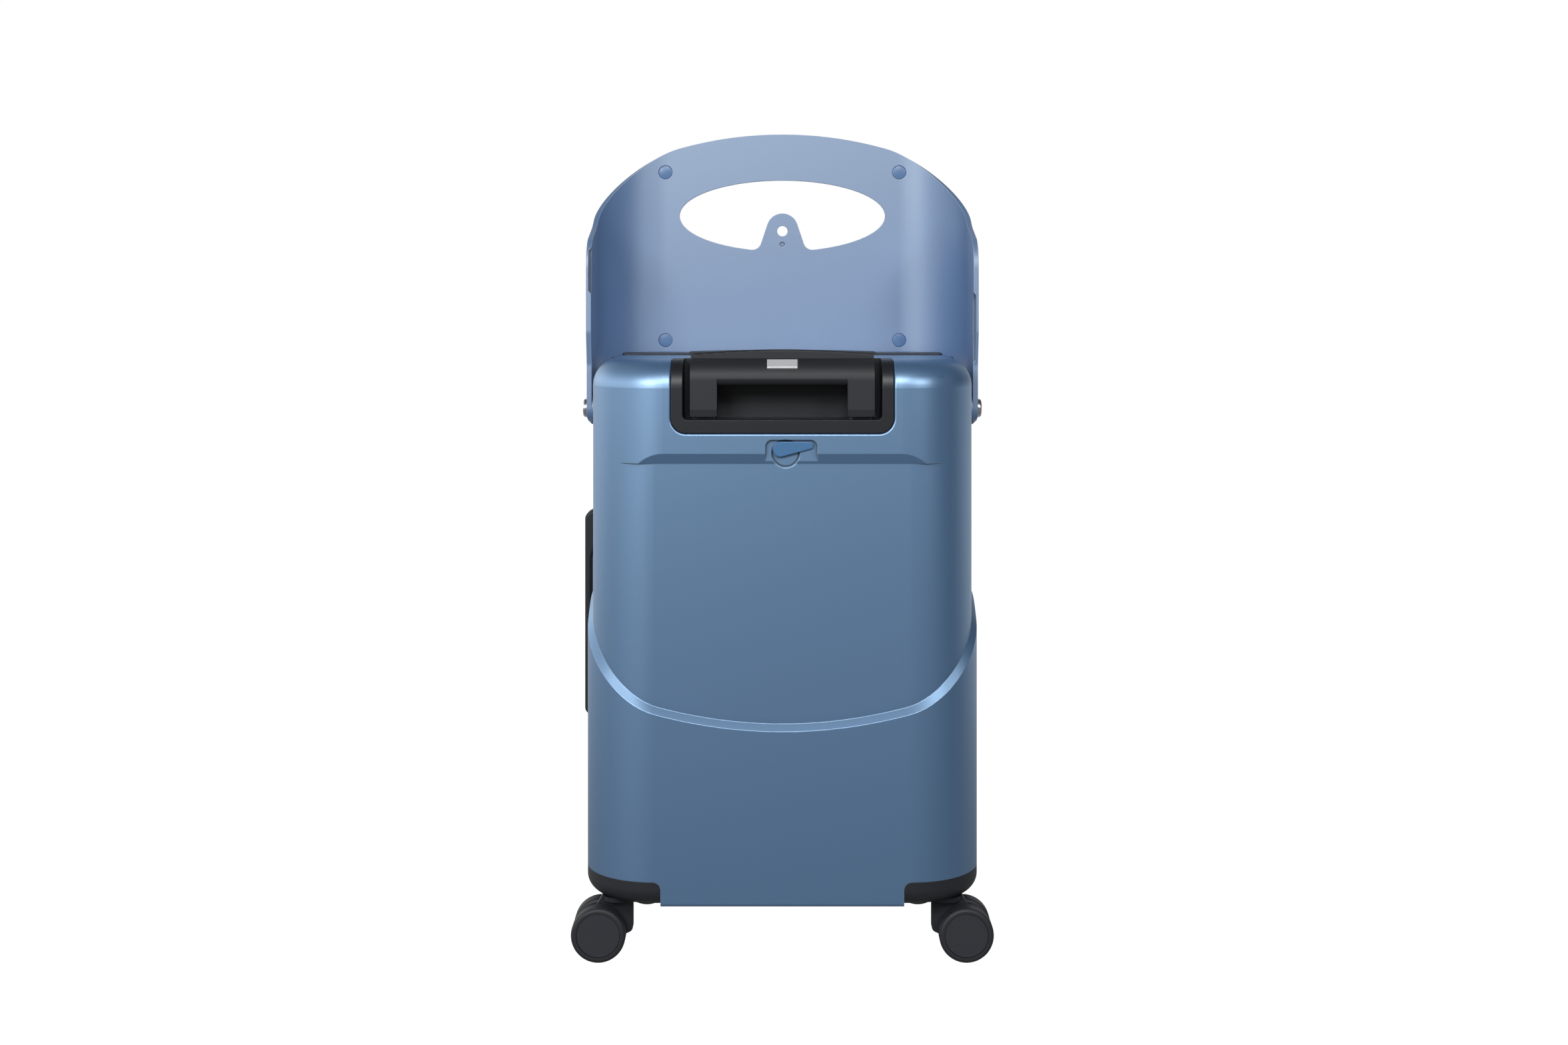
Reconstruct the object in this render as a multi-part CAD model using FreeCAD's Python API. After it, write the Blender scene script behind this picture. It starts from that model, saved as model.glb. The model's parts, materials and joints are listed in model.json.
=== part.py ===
import FreeCAD
import Part
import math
import os

V = FreeCAD.Vector
os.makedirs("parts", exist_ok=True)

# All lengths are millimetres. Z = 0 is the floor, -Y is the handle side, +X is to the right of it.

# Case body
wall = 2.8
case_bottom = 55.0
case_high = 475.0
upper_half_x = 170.3
upper_half_y = 113.3
upper_corner = 58.0
top_round = 24.0
bottom_round = 3.0

# Clearances: a running fit, a face to face seat, and the gap round a piece that is let in
fit = 0.05
seat = 0.02
let_in = 0.3

# Belt: the proud lower part of the back and sides, with its smile shaped upper edge
belt_proud = 4.7
belt_end_y = 16.0
belt_middle_high = 158.5
belt_side_high = 263.0
belt_roof = 7.5
smile_bend_short = 4.3
smile_bend_rise = 14.2
smile_past_corner = 36.6
smile_side_slope = 0.1
smile_band = 6.0
edge_steps = 48

# Shoulder: the proud band above the folded guard panel
shoulder_proud = 3.7
shoulder_corner = 66.0
shoulder_slope = 9.0

# Guard panel and its pivots
pivot_down = 49.0
panel_thick = 4.5
panel_gap = 0.5
wing_gap = 5.7
panel_corner = 62.0
panel_lap = 8.0
panel_high = 221.5
arch_run = 101.7
arch_drop = 13.9
arch_slope = 0.28
arch_past_corner = 20.4
arch_side_drop = 95.5
wing_front_y = -22.0
wing_front_round = 28.0
ear_radius = 15.0
ear_gap = 0.6
heel_y = 26.0
heel_round = 14.0
heel_lap = 27.0
heel_flat = 19.0
heel_rise_run = 40.0
heel_rise_round = 20.0
ear_taper = 3.6
wing_rebate_deep = 2.4
wing_rebate_reach = 9.0
wing_rebate_slope = 3.0
left_rebate_up = 68.0
left_rebate_long = 37.0
right_rebate_up = 4.0
right_rebate_long = 59.5
panel_edge_cut = 3.0
hole_half_x = 101.6
hole_half_z = 35.0
hole_down = 80.5
tab_over = 2.5
tab_r = 15.6
tab_lean = 18.5
tab_foot_flare = 9.0
tab_hole_r = 5.1
tab_hole_down = 17.5
dimple_r = 2.7
dimple_down = 13.3
dimple_deep = 1.2
bumper_r = 6.9
bumper_in = 60.5
bumper_down = 37.5
bumper_up = 18.0
bumper_proud = 0.3
bumper_thick = 2.1
bolt_head_r = 8.5
bolt_head_thick = 3.8
bolt_head_soft = 2.2
bolt_r = 4.0
bush_r = 6.0
nut_r = 9.0
nut_thick = 4.0

# Turn latch, placed from its pin
lever_x = -1.8
lever_up = 13.0
lever_big_r = 6.65
lever_tip_right = 25.5
lever_tip_up = 3.3
lever_tip_r = 3.35
lever_sunk = 0.1
lever_thick = 1.7
lever_boss_r = 4.6
lever_pin_r = 2.2
lever_pin_head_r = 4.2
lever_pin_head = 2.0
pocket_deep = 2.7
pocket_left_of = 13.1
pocket_right_of = 32.4
pocket_above = 8.2
pocket_round = 6.0
scoop_right = 4.7
scoop_below = 4.0
scoop_r = 12.5
scoop_deep = 0.9
scoop_groove = 1.9
scoop_groove_deep = 0.8
rebate_half = 9.0
rebate_high = 20.0
rebate_lip = 1.1

# Telescopic handle
cup_side_margin = 73.3
cup_high = 63.0
cup_round = 13.0
cup_proud = 0.5
cup_deep = 45.5
cup_side = 10.0
cup_wall = 4.0
cup_floor_thick = 11.5
cup_in_round = 4.0
cup_soft = 0.45
cup_lip_round = 2.0
grip_side_gap = 6.5
grip_leg_wide = 23.5
grip_floor_gap = 2.5
grip_over = 1.0
grip_bar_high = 24.0
grip_bar_round = 7.5
grip_sunk = 1.3
grip_deep = 22.2
grip_top_round = 18.5
grip_edge = 2.5
grip_foot_round = 2.0
grip_foot_high = 6.3
grip_foot_lean = 0.9
grip_rib_thick = 5.0
grip_rib_rise = 3.6
grip_rib_crown = 7.7
grip_rib_soft = 1.5
button_half_x = 13.5
button_tilt = 50.0
button_long = 11.0
button_deep = 8.0
button_proud = 0.7
button_soft = 1.05
button_travel = 3.0
tube_wide = 24.0
tube_deep = 15.0
tube_wall = 1.2
tube_slack = 0.3
tube_corner = 3.5
tube_behind = 14.2
tube_step = 12.0
tube_foot_up = 4.2
inner_tube_grip = 19.0
collar_lip = 1.0
collar_thick = 1.8
shoe_side = 4.0
shoe_high = 20.2

# Side handle on the left wall and carry handle on the top
side_y = 35.0
side_up = 231.0
side_half_long = 100.0
side_half_wide = 12.0
side_reach = 15.7
side_bar_thick = 6.5
side_end_drop = 7.0
side_bar_soft = 2.5
side_foot_round = 1.0
side_post_r = 4.5
side_plate_thick = 2.5
side_plate_soft = 1.25
side_plate_long = 24.0
side_stop_r = 7.0
side_stop_thick = 3.0
side_travel = 14.0
carry_y = 18.0
carry_half_wide = 15.0
carry_bow_half = 87.0
carry_bow_rise = 3.9
carry_end_margin = 21.3
carry_end_thick = 1.6
carry_bow_lip = 0.8
carry_bow_soft = 0.6
carry_end_round = 3.2
carry_post_in = 11.0
carry_post_r = 3.5
carry_land = 10.5
carry_stop_r = 6.0
carry_stop_thick = 2.5
carry_travel = 16.0

# Front lid and its zip
lid_deep = 49.3
lid_edge = 42.0
lid_round = 30.0
zip_gap_half = 5.0
zip_part = 0.3
tape_reach = 12.0
tape_thick = 0.8
chain_wide = 2.9
chain_high = 1.5
chain_short = 20.3
hinge_strip_reach = 14.0
hinge_strip_short = 35.0
hinge_strip_thick = 0.8
slider_up = 192.0
slider_apart = 15.0
slider_half_y = 4.2
slider_half_z = 6.5
slider_thick = 3.0
slider_soft = 1.0
pull_half_y = 3.2
pull_long = 22.0
pull_thick = 1.3
pull_eye_r = 1.6

# Casters and the black corner housings that carry them
swivel_in_x = 29.0
swivel_in_y = 39.0
trail = 16.0
wheel_r = 24.0
hub_r = 19.3
wheel_half_gap = 5.8
wheel_wide = 16.4
hub_dish = 0.8
tyre_round = 3.0
axle_r = 3.0
axle_short = 3.7
stem_r = 4.0
stem_in_fork = 14.6
stem_short = 4.2
fork_half = 5.0
fork_gap = 0.4
fork_nose = 10.0
fork_nose_round = 8.0
fork_heel = 16.5
fork_heel_round = 5.0
flange_r = 13.5
flange_thick = 4.0
housing_long_x = 69.0
housing_long_y = 84.0
housing_high = 21.2
housing_round = 14.0
housing_wall = 3.0
housing_boss_r = 12.0
housing_top_round = 7.0

# Places and sizes that follow from the ones above
sides = (-1, 1)
case_top = case_bottom + case_high
quarter = math.pi / 2
upper_flat = upper_half_x - upper_corner
belt_half_x = upper_half_x + belt_proud
belt_back = upper_half_y + belt_proud
belt_corner = upper_corner + belt_proud
smile_low = case_bottom + belt_middle_high
smile_side_z = case_bottom + belt_side_high
smile_bend_run = upper_flat - smile_bend_short
smile_side_run = upper_flat + upper_corner * quarter + smile_past_corner
belt_sky = smile_side_z + 2 * belt_end_y
belt_inner_top = smile_low - smile_band - belt_roof
shoulder_back = upper_half_y + shoulder_proud
pivot_z = case_top - pivot_down
panel_bottom = case_top - panel_lap
panel_apex = panel_bottom + panel_high
heel_low = case_top - heel_lap
heel_rise_y = heel_y + heel_flat
heel_end_y = heel_rise_y + heel_rise_run
shoulder_bottom = 2 * pivot_z - panel_bottom
wing_inner_x = upper_half_x + wing_gap
wing_outer_x = wing_inner_x + panel_thick
panel_inner_y = upper_half_y + panel_gap
panel_outer_y = panel_inner_y + panel_thick
panel_flat = wing_inner_x - panel_corner
panel_mid_corner = panel_corner + panel_thick / 2
arch_side_run = panel_flat + panel_mid_corner * quarter + arch_past_corner
hole_z = panel_apex - hole_down
tab_top = hole_z + tab_over
tab_hole_z = tab_top - tab_hole_down
dimple_z = tab_hole_z - dimple_down
bumper_x = wing_inner_x - bumper_in
bumper_zs = (panel_apex - bumper_down, panel_bottom + bumper_up)
lever_z = shoulder_bottom + lever_up
lever_face_y = lever_sunk - shoulder_back
pocket_floor_y = pocket_deep - shoulder_back
pocket_left = lever_x - pocket_left_of
pocket_right = lever_x + pocket_right_of
pocket_top = lever_z + pocket_above
scoop_x = lever_x + scoop_right
scoop_z = lever_z - scoop_below
cup_half_x = upper_half_x - cup_side_margin
cup_bottom = case_top - cup_high
cup_back = shoulder_back + cup_proud
cup_top = case_top + cup_proud
cup_top_round = top_round + let_in
cup_front_y = cup_deep - cup_back
cup_in_half_x = cup_half_x - cup_side
cup_floor = cup_bottom + cup_floor_thick
grip_half_x = cup_in_half_x - grip_side_gap
grip_leg_in = grip_half_x - grip_leg_wide
grip_bottom = cup_floor + grip_floor_gap
grip_top = cup_top + grip_over
grip_bar_under = grip_top - grip_bar_high
grip_back = cup_back - grip_sunk
grip_front_y = grip_deep - grip_back
tube_x = grip_half_x - grip_leg_wide / 2
tube_y = tube_behind - grip_back
tube_shrink = 2 * (tube_wall + tube_slack)
outer_tube = (tube_wide, tube_deep)
middle_tube = (tube_wide - tube_shrink, tube_deep - tube_shrink)
inner_tube = (tube_wide - 2 * tube_shrink, tube_deep - 2 * tube_shrink)
outer_tube_foot = case_bottom + wall + tube_foot_up
middle_tube_foot = outer_tube_foot + tube_step
inner_tube_foot = middle_tube_foot + tube_step
inner_tube_head = grip_bottom + inner_tube_grip
shoe_top = case_bottom + wall + shoe_high
side_z = case_bottom + side_up
side_out_x = upper_half_x + side_reach
carry_post_x = carry_bow_half - carry_post_in
carry_end_x = upper_half_x - carry_end_margin
zip_y = upper_half_y - lid_deep
lid_low = case_bottom + lid_edge
lid_high = case_top - lid_edge
hinge_strip_low = lid_low + hinge_strip_short
hinge_strip_high = lid_high - hinge_strip_short
chain_end_x = upper_half_x - chain_short
slider_zs = (case_bottom + slider_up + slider_apart, case_bottom + slider_up - slider_apart)
swivel_x = belt_half_x - swivel_in_x
swivel_y = belt_back - swivel_in_y
axle_half = wheel_half_gap + wheel_wide - axle_short
fork_top = case_bottom - fork_gap
flange_low = fork_top - flange_thick
stem_foot = fork_top - stem_in_fork
housing_in_x = belt_half_x - housing_long_x
housing_in_y = belt_back - housing_long_y
housing_top = case_bottom + housing_high
stem_head = housing_top - stem_short
far = panel_apex


def block(x0, x1, y0, y1, z0, z1):
    return Part.makeBox(x1 - x0, y1 - y0, z1 - z0, V(x0, y0, z0))


def rod(radius, start, end):
    return Part.makeCylinder(radius, (end - start).Length, start, end - start)


def loop(corners):
    # A closed planar outline through (point, corner radius) pairs.
    edges = []
    ends = []
    for i, (here, radius) in enumerate(corners):
        back = (corners[i - 1][0] - here).normalize()
        ahead = (corners[(i + 1) % len(corners)][0] - here).normalize()
        if radius <= 0:
            ends.append((here, None, here))
            continue
        half = back.getAngle(ahead) / 2
        middle = (back + ahead).normalize()
        centre = here + middle * (radius / math.sin(half))
        run = radius / math.tan(half)
        ends.append((here + back * run, centre - middle * radius, here + ahead * run))
    for i, (first, bulge, last) in enumerate(ends):
        if bulge is not None:
            edges.append(Part.Arc(first, bulge, last).toShape())
        after = ends[(i + 1) % len(ends)][0]
        if (after - last).Length > seat / 2:
            edges.append(Part.makeLine(last, after))
    return Part.Wire(edges)


def sweep(corners, along):
    return Part.Face(loop(corners)).extrude(along)


def plan(half_x, y0, y1, r0, r1, z0, z1):
    # A rounded rectangle seen from above, raised from z0 to z1.
    ring = [(V(-half_x, y0, z0), r0), (V(half_x, y0, z0), r0)]
    ring += [(V(half_x, y1, z0), r1), (V(-half_x, y1, z0), r1)]
    return sweep(ring, V(0, 0, z1 - z0))


def front(pairs, y0, y1):
    # An outline seen from the front, given as (x, z, radius), made solid from y0 to y1.
    return sweep([(V(x, y0, z), r) for x, z, r in pairs], V(0, y1 - y0, 0))


def side(pairs, x0, x1):
    # An outline seen from the side, given as (y, z, radius), made solid from x0 to x1.
    return sweep([(V(x0, y, z), r) for y, z, r in pairs], V(x1 - x0, 0, 0))


def level_edges(shape, z):
    return [e for e in shape.Edges if abs(e.BoundBox.ZMin - z) < fit and abs(e.BoundBox.ZMax - z) < fit]


def flip(shape):
    return shape.mirror(V(0, 0, 0), V(1, 0, 0))


def both(shape):
    return [shape, flip(shape)]


def save(name, solids):
    if not isinstance(solids, list):
        solids = [solids]
    flat = [s for item in solids for s in item.Solids]
    Part.makeCompound(flat).exportStep("parts/" + name + ".step")
    print(name, len(flat), all(s.isValid() for s in flat), round(sum(s.Volume for s in flat)))


def ease(run, run0, run1, value0, value1, slope0, slope1):
    # A smooth curve between two heights with given slopes at its ends.
    long = run1 - run0
    t = (run - run0) / long
    start = (2 * t**3 - 3 * t**2 + 1) * value0 + (t**3 - 2 * t**2 + t) * long * slope0
    end = (3 * t**2 - 2 * t**3) * value1 + (t**3 - t**2) * long * slope1
    return start + end


def smile_height(run):
    # Height of the belt's upper edge, by the way walked round the case from the middle of the back.
    run = abs(run)
    bend_slope = 2 * smile_bend_rise / smile_bend_run
    bend_z = smile_low + smile_bend_rise
    if run <= smile_bend_run:
        return smile_low + smile_bend_rise * (run / smile_bend_run) ** 2
    if run <= smile_side_run:
        return ease(run, smile_bend_run, smile_side_run, bend_z, smile_side_z, bend_slope, smile_side_slope)
    return smile_side_z + (run - smile_side_run) * smile_side_slope


def arch_height(run):
    # Height of the panel's upper edge, by the way walked round it from its middle.
    run = abs(run)
    if run <= arch_run:
        power = arch_slope * arch_run / arch_drop
        return panel_apex - arch_drop * (run / arch_run) ** power
    if run <= arch_side_run:
        drop = ease(run, arch_run, arch_side_run, arch_drop, arch_side_drop, arch_slope, arch_slope)
        return panel_apex - drop
    return panel_apex - arch_side_drop - (run - arch_side_run) * arch_slope


def round_wall(run, half_x, half_y, corner, face):
    # Point on a rounded wall and its outward direction; face is -1 for the back, 1 for the front.
    flat = half_x - corner
    turn = corner * math.pi / 2
    hand = -1 if run < 0 else 1
    run = abs(run)
    angle = min(max(run - flat, 0), turn) / corner
    x = min(run, flat) + corner * math.sin(angle)
    y = half_y - corner + corner * math.cos(angle) - max(run - flat - turn, 0)
    return V(hand * x, face * y, 0), V(hand * math.sin(angle), face * math.cos(angle), 0)


def above_edge(height, reach, half_x, half_y, corner, face, depth, fall, grip, sky):
    # Everything over a sloping edge that runs round a wall, to be cut away.
    wires = []
    step = reach / edge_steps
    for i in range(-edge_steps, edge_steps + 1):
        run = i * step
        foot, out = round_wall(run, half_x, half_y, corner, face)
        climb = (height(run + step) - height(run - step)) / (2 * step)
        lean = fall * math.sqrt(1 + climb * climb) / depth
        near = foot - out * grip
        away = foot + out * (depth + grip)
        low_in = V(near.x, near.y, height(run) + lean * grip)
        low_out = V(away.x, away.y, height(run) - lean * (depth + grip))
        high_out = V(away.x, away.y, sky)
        high_in = V(near.x, near.y, sky)
        wires.append(Part.makePolygon([low_in, low_out, high_out, high_in, low_in]))
    return Part.makeLoft(wires, True, False)


def lid_zone(offset, x0=-far, x1=far):
    # Space in front of the zip line; a positive offset makes it larger.
    back = zip_y - offset
    low = lid_low - offset
    high = lid_high + offset
    turn = lid_round + offset
    return side([(back, low, turn), (far, low, 0), (far, high, 0), (back, high, turn)], x0, x1)


def case_prism(inset, z0, z1):
    half_x = upper_half_x - inset
    half_y = upper_half_y - inset
    return plan(half_x, -half_y, half_y, upper_corner - inset, upper_corner - inset, z0, z1)


def skin(inset, thick):
    return case_prism(inset, case_bottom, case_top).cut(case_prism(inset + thick, case_bottom, case_top))


def corner_box(grow, top):
    # The back right bottom corner of the case, with rounded inner upper edges.
    edge_x = housing_in_x - grow
    edge_y = housing_in_y - grow
    turn = housing_top_round + grow
    seen_behind = [(edge_x, 0, 0), (edge_x, top + grow, turn), (far, top + grow, 0), (far, 0, 0)]
    seen_beside = [(-edge_y, 0, 0), (-edge_y, top + grow, turn), (-far, top + grow, 0), (-far, 0, 0)]
    return front(seen_behind, -far, -edge_y).common(side(seen_beside, edge_x, far))


def corner_zone(grow, top):
    # The four bottom corners that the caster housings fill.
    one_side = both(corner_box(grow, top))
    return one_side + [s.mirror(V(0, 0, 0), V(0, 1, 0)) for s in one_side]


def cup_front(grow, top):
    # Outline of the handle cup, seen from behind.
    half = cup_half_x + grow
    turn = cup_round + grow
    low = cup_bottom - grow
    return [(-half, low, turn), (half, low, turn), (half, top, 0), (-half, top, 0)]


def on_cup_lip(edge):
    # True for the edges of the cup's opening that lie on the back and on the rounded top edge.
    box = edge.BoundBox
    middle = edge.valueAt((edge.FirstParameter + edge.LastParameter) / 2)
    near_x = abs(middle.x) < cup_half_x + let_in + fit
    outside = middle.y < top_round - shoulder_back + seat
    return near_x and outside and middle.z > cup_bottom - let_in - fit and box.ZMax < case_top + fit and (
        box.YLength < fit or abs(middle.x) > cup_half_x)


# Main shell: upper body, shoulder and belt, hollow, open at the front for the lid
upper = case_prism(0, case_bottom, case_top)
upper = upper.makeFillet(top_round, level_edges(upper, case_top))
upper = upper.makeFillet(bottom_round, level_edges(upper, case_bottom))
shoulder = plan(upper_half_x, -shoulder_back, 0, shoulder_corner, 0, shoulder_bottom, case_top)
rim = [e for e in level_edges(shoulder, case_top) if e.BoundBox.YMin < -seat]
shoulder = shoulder.makeFillet(top_round, rim)
slope_rate = shoulder_slope / (shoulder_back - upper_half_y)
slope_out = 2 * shoulder_back - upper_half_y
under_slope = [(-upper_half_y, shoulder_bottom, 0), (-upper_half_y, 0, 0), (-slope_out, 0, 0)]
under_slope += [(-slope_out, shoulder_bottom + slope_rate * (slope_out - upper_half_y), 0)]
shoulder = shoulder.cut(side(under_slope, -far, far))
belt = plan(belt_half_x, -belt_back, belt_end_y, belt_corner, 0, case_bottom, belt_sky)
ends = [e for e in belt.Edges if e.BoundBox.YMin > belt_end_y - fit and e.BoundBox.ZLength > belt_end_y]
belt = belt.makeChamfer(belt_proud - seat, ends)
belt = belt.makeFillet(bottom_round, [e for e in level_edges(belt, case_bottom) if e.BoundBox.YMin < 0])
belt_reach = smile_side_run + 3 * belt_end_y
belt = belt.cut(above_edge(smile_height, belt_reach, upper_half_x, upper_half_y, upper_corner, -1,
                           belt_proud, smile_band, wall, belt_sky + wall))
outer = upper.fuse([shoulder, belt]).removeSplitter()
outer = outer.cut(front(cup_front(let_in, case_top + far), -far, cup_front_y + let_in))
lip = [e for e in outer.Edges if on_cup_lip(e)]
outer = outer.makeFillet(cup_lip_round, lip)
hollow = case_prism(wall, case_bottom + wall, case_top - wall)
hollow = hollow.makeFillet(top_round - wall, level_edges(hollow, case_top - wall))
belt_hollow_end = belt_end_y - belt_proud - wall
belt_hollow = plan(belt_half_x - wall, wall - belt_back, belt_hollow_end, belt_corner - wall, 0,
                   case_bottom + wall, belt_inner_top)
hollow = hollow.fuse(belt_hollow)
hollow = hollow.cut(corner_zone(wall, housing_top + let_in))
shell = outer.cut(corner_zone(0, housing_top + let_in)).cut(hollow)
shell = shell.cut(lid_zone(zip_gap_half))

# Cup of the telescopic handle, let into the top of the back
cup = front(cup_front(0, case_top + far), -far, cup_front_y)
cup = cup.common(side([(-cup_back, case_bottom, 0), (-cup_back, cup_top, cup_top_round),
                       (0, cup_top, 0), (0, case_bottom, 0)], -far, far))
cup_in = [(-cup_in_half_x, cup_floor, cup_in_round), (cup_in_half_x, cup_floor, cup_in_round)]
cup_in += [(cup_in_half_x, case_top + far, 0), (-cup_in_half_x, case_top + far, 0)]
cup = cup.cut(front(cup_in, -far, cup_front_y - cup_wall))


def tube_plug(size, grow, z0, z1):
    half_x = size[0] / 2 + grow
    half_y = size[1] / 2 + grow
    turn = tube_corner + grow
    plug = plan(half_x, -half_y, half_y, turn, turn, z0, z1)
    plug.translate(V(tube_x, tube_y, 0))
    return plug


def tube(size, z0, z1):
    return tube_plug(size, 0, z0, z1).cut(tube_plug(size, -tube_wall, z0 - wall, z1 + wall))


cup = cup.cut(both(tube_plug(middle_tube, tube_slack, 0, case_top)))
cup_rim = [e for e in cup.Edges if abs(e.BoundBox.YMax + cup_back) < fit and e.BoundBox.ZMax < grip_bottom]
cup = cup.makeFillet(cup_soft, cup_rim)
save("handle_cup", cup)

# Tubes of the handle in three stages, and the shoes that hold the outer ones
save("outer_tubes", both(tube(outer_tube, outer_tube_foot, cup_bottom)))
shoe = tube_plug(outer_tube, shoe_side, case_bottom + wall, shoe_top)
shoe = shoe.common(block(0, far, -upper_half_y + wall + fit, 0, 0, far))
shoe = shoe.cut(tube_plug(outer_tube, fit, outer_tube_foot, shoe_top + wall))
save("tube_shoes", both(shoe))
save("middle_tubes", both(tube(middle_tube, middle_tube_foot, cup_floor)))
collar_low = cup_floor + seat
collar = tube_plug(middle_tube, collar_lip, collar_low, collar_low + collar_thick)
collar = collar.cut(tube_plug(inner_tube, tube_slack, 0, case_top))
save("tube_collars", both(collar))
save("inner_tubes", both(tube(inner_tube, inner_tube_foot, inner_tube_head)))

# Grip with its release button on the rounded upper edge
bow = [(-grip_half_x, grip_bottom, grip_foot_round), (-grip_leg_in, grip_bottom, grip_foot_round)]
bow += [(-grip_leg_in, grip_bar_under, grip_edge), (grip_leg_in, grip_bar_under, grip_edge)]
bow += [(grip_leg_in, grip_bottom, grip_foot_round), (grip_half_x, grip_bottom, grip_foot_round)]
bow += [(grip_half_x, grip_top, grip_edge), (-grip_half_x, grip_top, grip_edge)]
grip = front(bow, -far, 0)
profile = [(grip_foot_lean - grip_back, grip_bottom, 0), (-grip_back, grip_bottom + grip_foot_high, 0)]
profile += [(-grip_back, grip_top, grip_top_round), (grip_front_y, grip_top, 0)]
profile += [(grip_front_y, grip_bottom, 0)]
grip = grip.common(side(profile, -far, far))
bar_lip = grip_bar_under + grip_bar_round
under_bar = block(-grip_leg_in, grip_leg_in, -far, grip_bar_round - grip_back, grip_bottom, bar_lip)
bar_edge = V(-far, grip_bar_round - grip_back, bar_lip)
grip = grip.cut(under_bar.cut(rod(grip_bar_round, bar_edge, bar_edge + V(2 * far, 0, 0))))
rib_end = grip_top + grip_rib_rise
rib_left = V(-grip_half_x, 0, rib_end)
rib_right = V(grip_half_x, 0, rib_end)
rib_arc = Part.Arc(rib_right, V(0, 0, grip_top + grip_rib_crown), rib_left)
rib_ring = [rib_left, V(-grip_half_x, 0, bar_lip), V(grip_half_x, 0, bar_lip), rib_right]
rib = Part.Face(Part.Wire([rib_arc.toShape(), Part.makePolygon(rib_ring)])).extrude(V(0, grip_rib_thick, 0))
rib.translate(V(0, grip_front_y - grip_rib_thick, 0))
rib = rib.makeFillet(grip_rib_soft, [e for e in rib.Edges if e.BoundBox.ZMin > grip_top])
grip = grip.fuse(rib).removeSplitter()
grip = grip.cut(both(tube_plug(inner_tube, seat, 0, inner_tube_head + seat)))
lean_angle = math.radians(button_tilt)
press_out = V(0, -math.cos(lean_angle), math.sin(lean_angle))
round_middle = V(0, grip_top_round - grip_back, grip_top - grip_top_round)
button_face = round_middle + press_out * grip_top_round


def button_block(grow, deep, high):
    # A block square to the rounded edge of the grip.
    half = button_long / 2 + grow
    slab = block(-button_half_x - grow, button_half_x + grow, -half, half, -deep, high)
    slab.rotate(V(0, 0, 0), V(1, 0, 0), 90 - button_tilt)
    slab.translate(button_face)
    return slab


grip = grip.cut(button_block(let_in, button_deep + button_travel + let_in, grip_top_round))
save("grip", grip)
button = button_block(0, button_deep, button_proud)
proud_level = button_proud - fit
proud_edges = [e for e in button.Edges if (e.CenterOfMass - button_face).dot(press_out) > proud_level]
button = button.makeFillet(button_soft, proud_edges)
save("release_button", button)

# Guard panel with wings, ears, hand hole and tab
panel = plan(wing_outer_x, -far, panel_outer_y, 0, panel_corner + panel_thick, 0, panel_apex + wall)
panel = panel.cut(plan(wing_inner_x, -2 * far, panel_inner_y, 0, panel_corner, -wall, panel_apex + far))
wing_foot = pivot_z - ear_radius
panel_run = panel_flat + panel_mid_corner * quarter
crest_at_pivot = arch_height(panel_run + panel_inner_y - panel_corner)
crest_front = crest_at_pivot + arch_slope * wing_front_y
crest_back = crest_at_pivot + arch_slope * 2 * ear_radius
turn = ear_radius - seat
outline = [(-ear_radius, wing_foot, turn), (-ear_radius, panel_bottom, ear_radius)]
outline += [(wing_front_y, panel_bottom + 2 * ear_radius, ear_radius)]
outline += [(wing_front_y, crest_front, wing_front_round), (2 * ear_radius, crest_back + seat, 0)]
outline += [(2 * ear_radius, panel_apex + far, 0), (far, panel_apex + far, 0), (far, panel_bottom, 0)]
outline += [(heel_end_y, panel_bottom, heel_rise_round), (heel_rise_y, heel_low, heel_rise_round)]
outline += [(heel_y, heel_low, heel_round), (ear_radius, wing_foot, turn)]
panel = panel.common(side(outline, -far, far))
middle_x = wing_inner_x + panel_thick / 2
middle_y = panel_inner_y + panel_thick / 2
panel_reach = panel_run + panel_inner_y - panel_corner + 2 * ear_radius
panel = panel.cut(above_edge(arch_height, panel_reach, middle_x, middle_y, panel_mid_corner, 1,
                             panel_thick, 0, panel_thick, panel_apex + far))
edge_rings = []
for grow, z in ((panel_edge_cut, panel_bottom), (0, panel_bottom + panel_edge_cut)):
    wide = wing_inner_x + grow
    deep = panel_inner_y + grow
    ring = [(V(-wide, 0, z), 0), (V(wide, 0, z), 0)]
    ring += [(V(wide, deep, z), panel_corner + grow), (V(-wide, deep, z), panel_corner + grow)]
    edge_rings.append(loop(ring))
edge_cut = Part.makeLoft(edge_rings, True, True)
panel = panel.cut(edge_cut.common(block(-far, far, heel_end_y, far, 0, far)))
oval = Part.Ellipse(V(hole_half_x, 0, 0), V(0, hole_half_z, 0), V(0, 0, 0)).toShape()
hole = Part.Face(Part.Wire([oval])).extrude(V(0, 0, far))
hole.rotate(V(0, 0, 0), V(1, 0, 0), 90)
hole.translate(V(0, panel_outer_y + far / 2, hole_z))
tab_foot = hole_z - 2 * hole_half_z
tab_half_top = tab_r / math.tan((quarter + math.radians(tab_lean)) / 2)
tab_half_foot = tab_half_top + (tab_top - tab_foot) * math.tan(math.radians(tab_lean))
tab = [(-tab_half_foot, tab_foot, 0), (tab_half_foot, tab_foot, 0)]
tab += [(tab_half_top, tab_top, tab_r), (-tab_half_top, tab_top, tab_r)]
hole = hole.cut(front(tab, 0, far))
hole = hole.makeFillet(tab_foot_flare, [e for e in hole.Edges if e.BoundBox.ZMax < tab_hole_z and
                                        e.BoundBox.YLength > panel_thick and e.BoundBox.XLength < fit])
panel = panel.cut(hole)
panel = panel.cut(rod(tab_hole_r, V(0, 0, tab_hole_z), V(0, far, tab_hole_z)))
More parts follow.
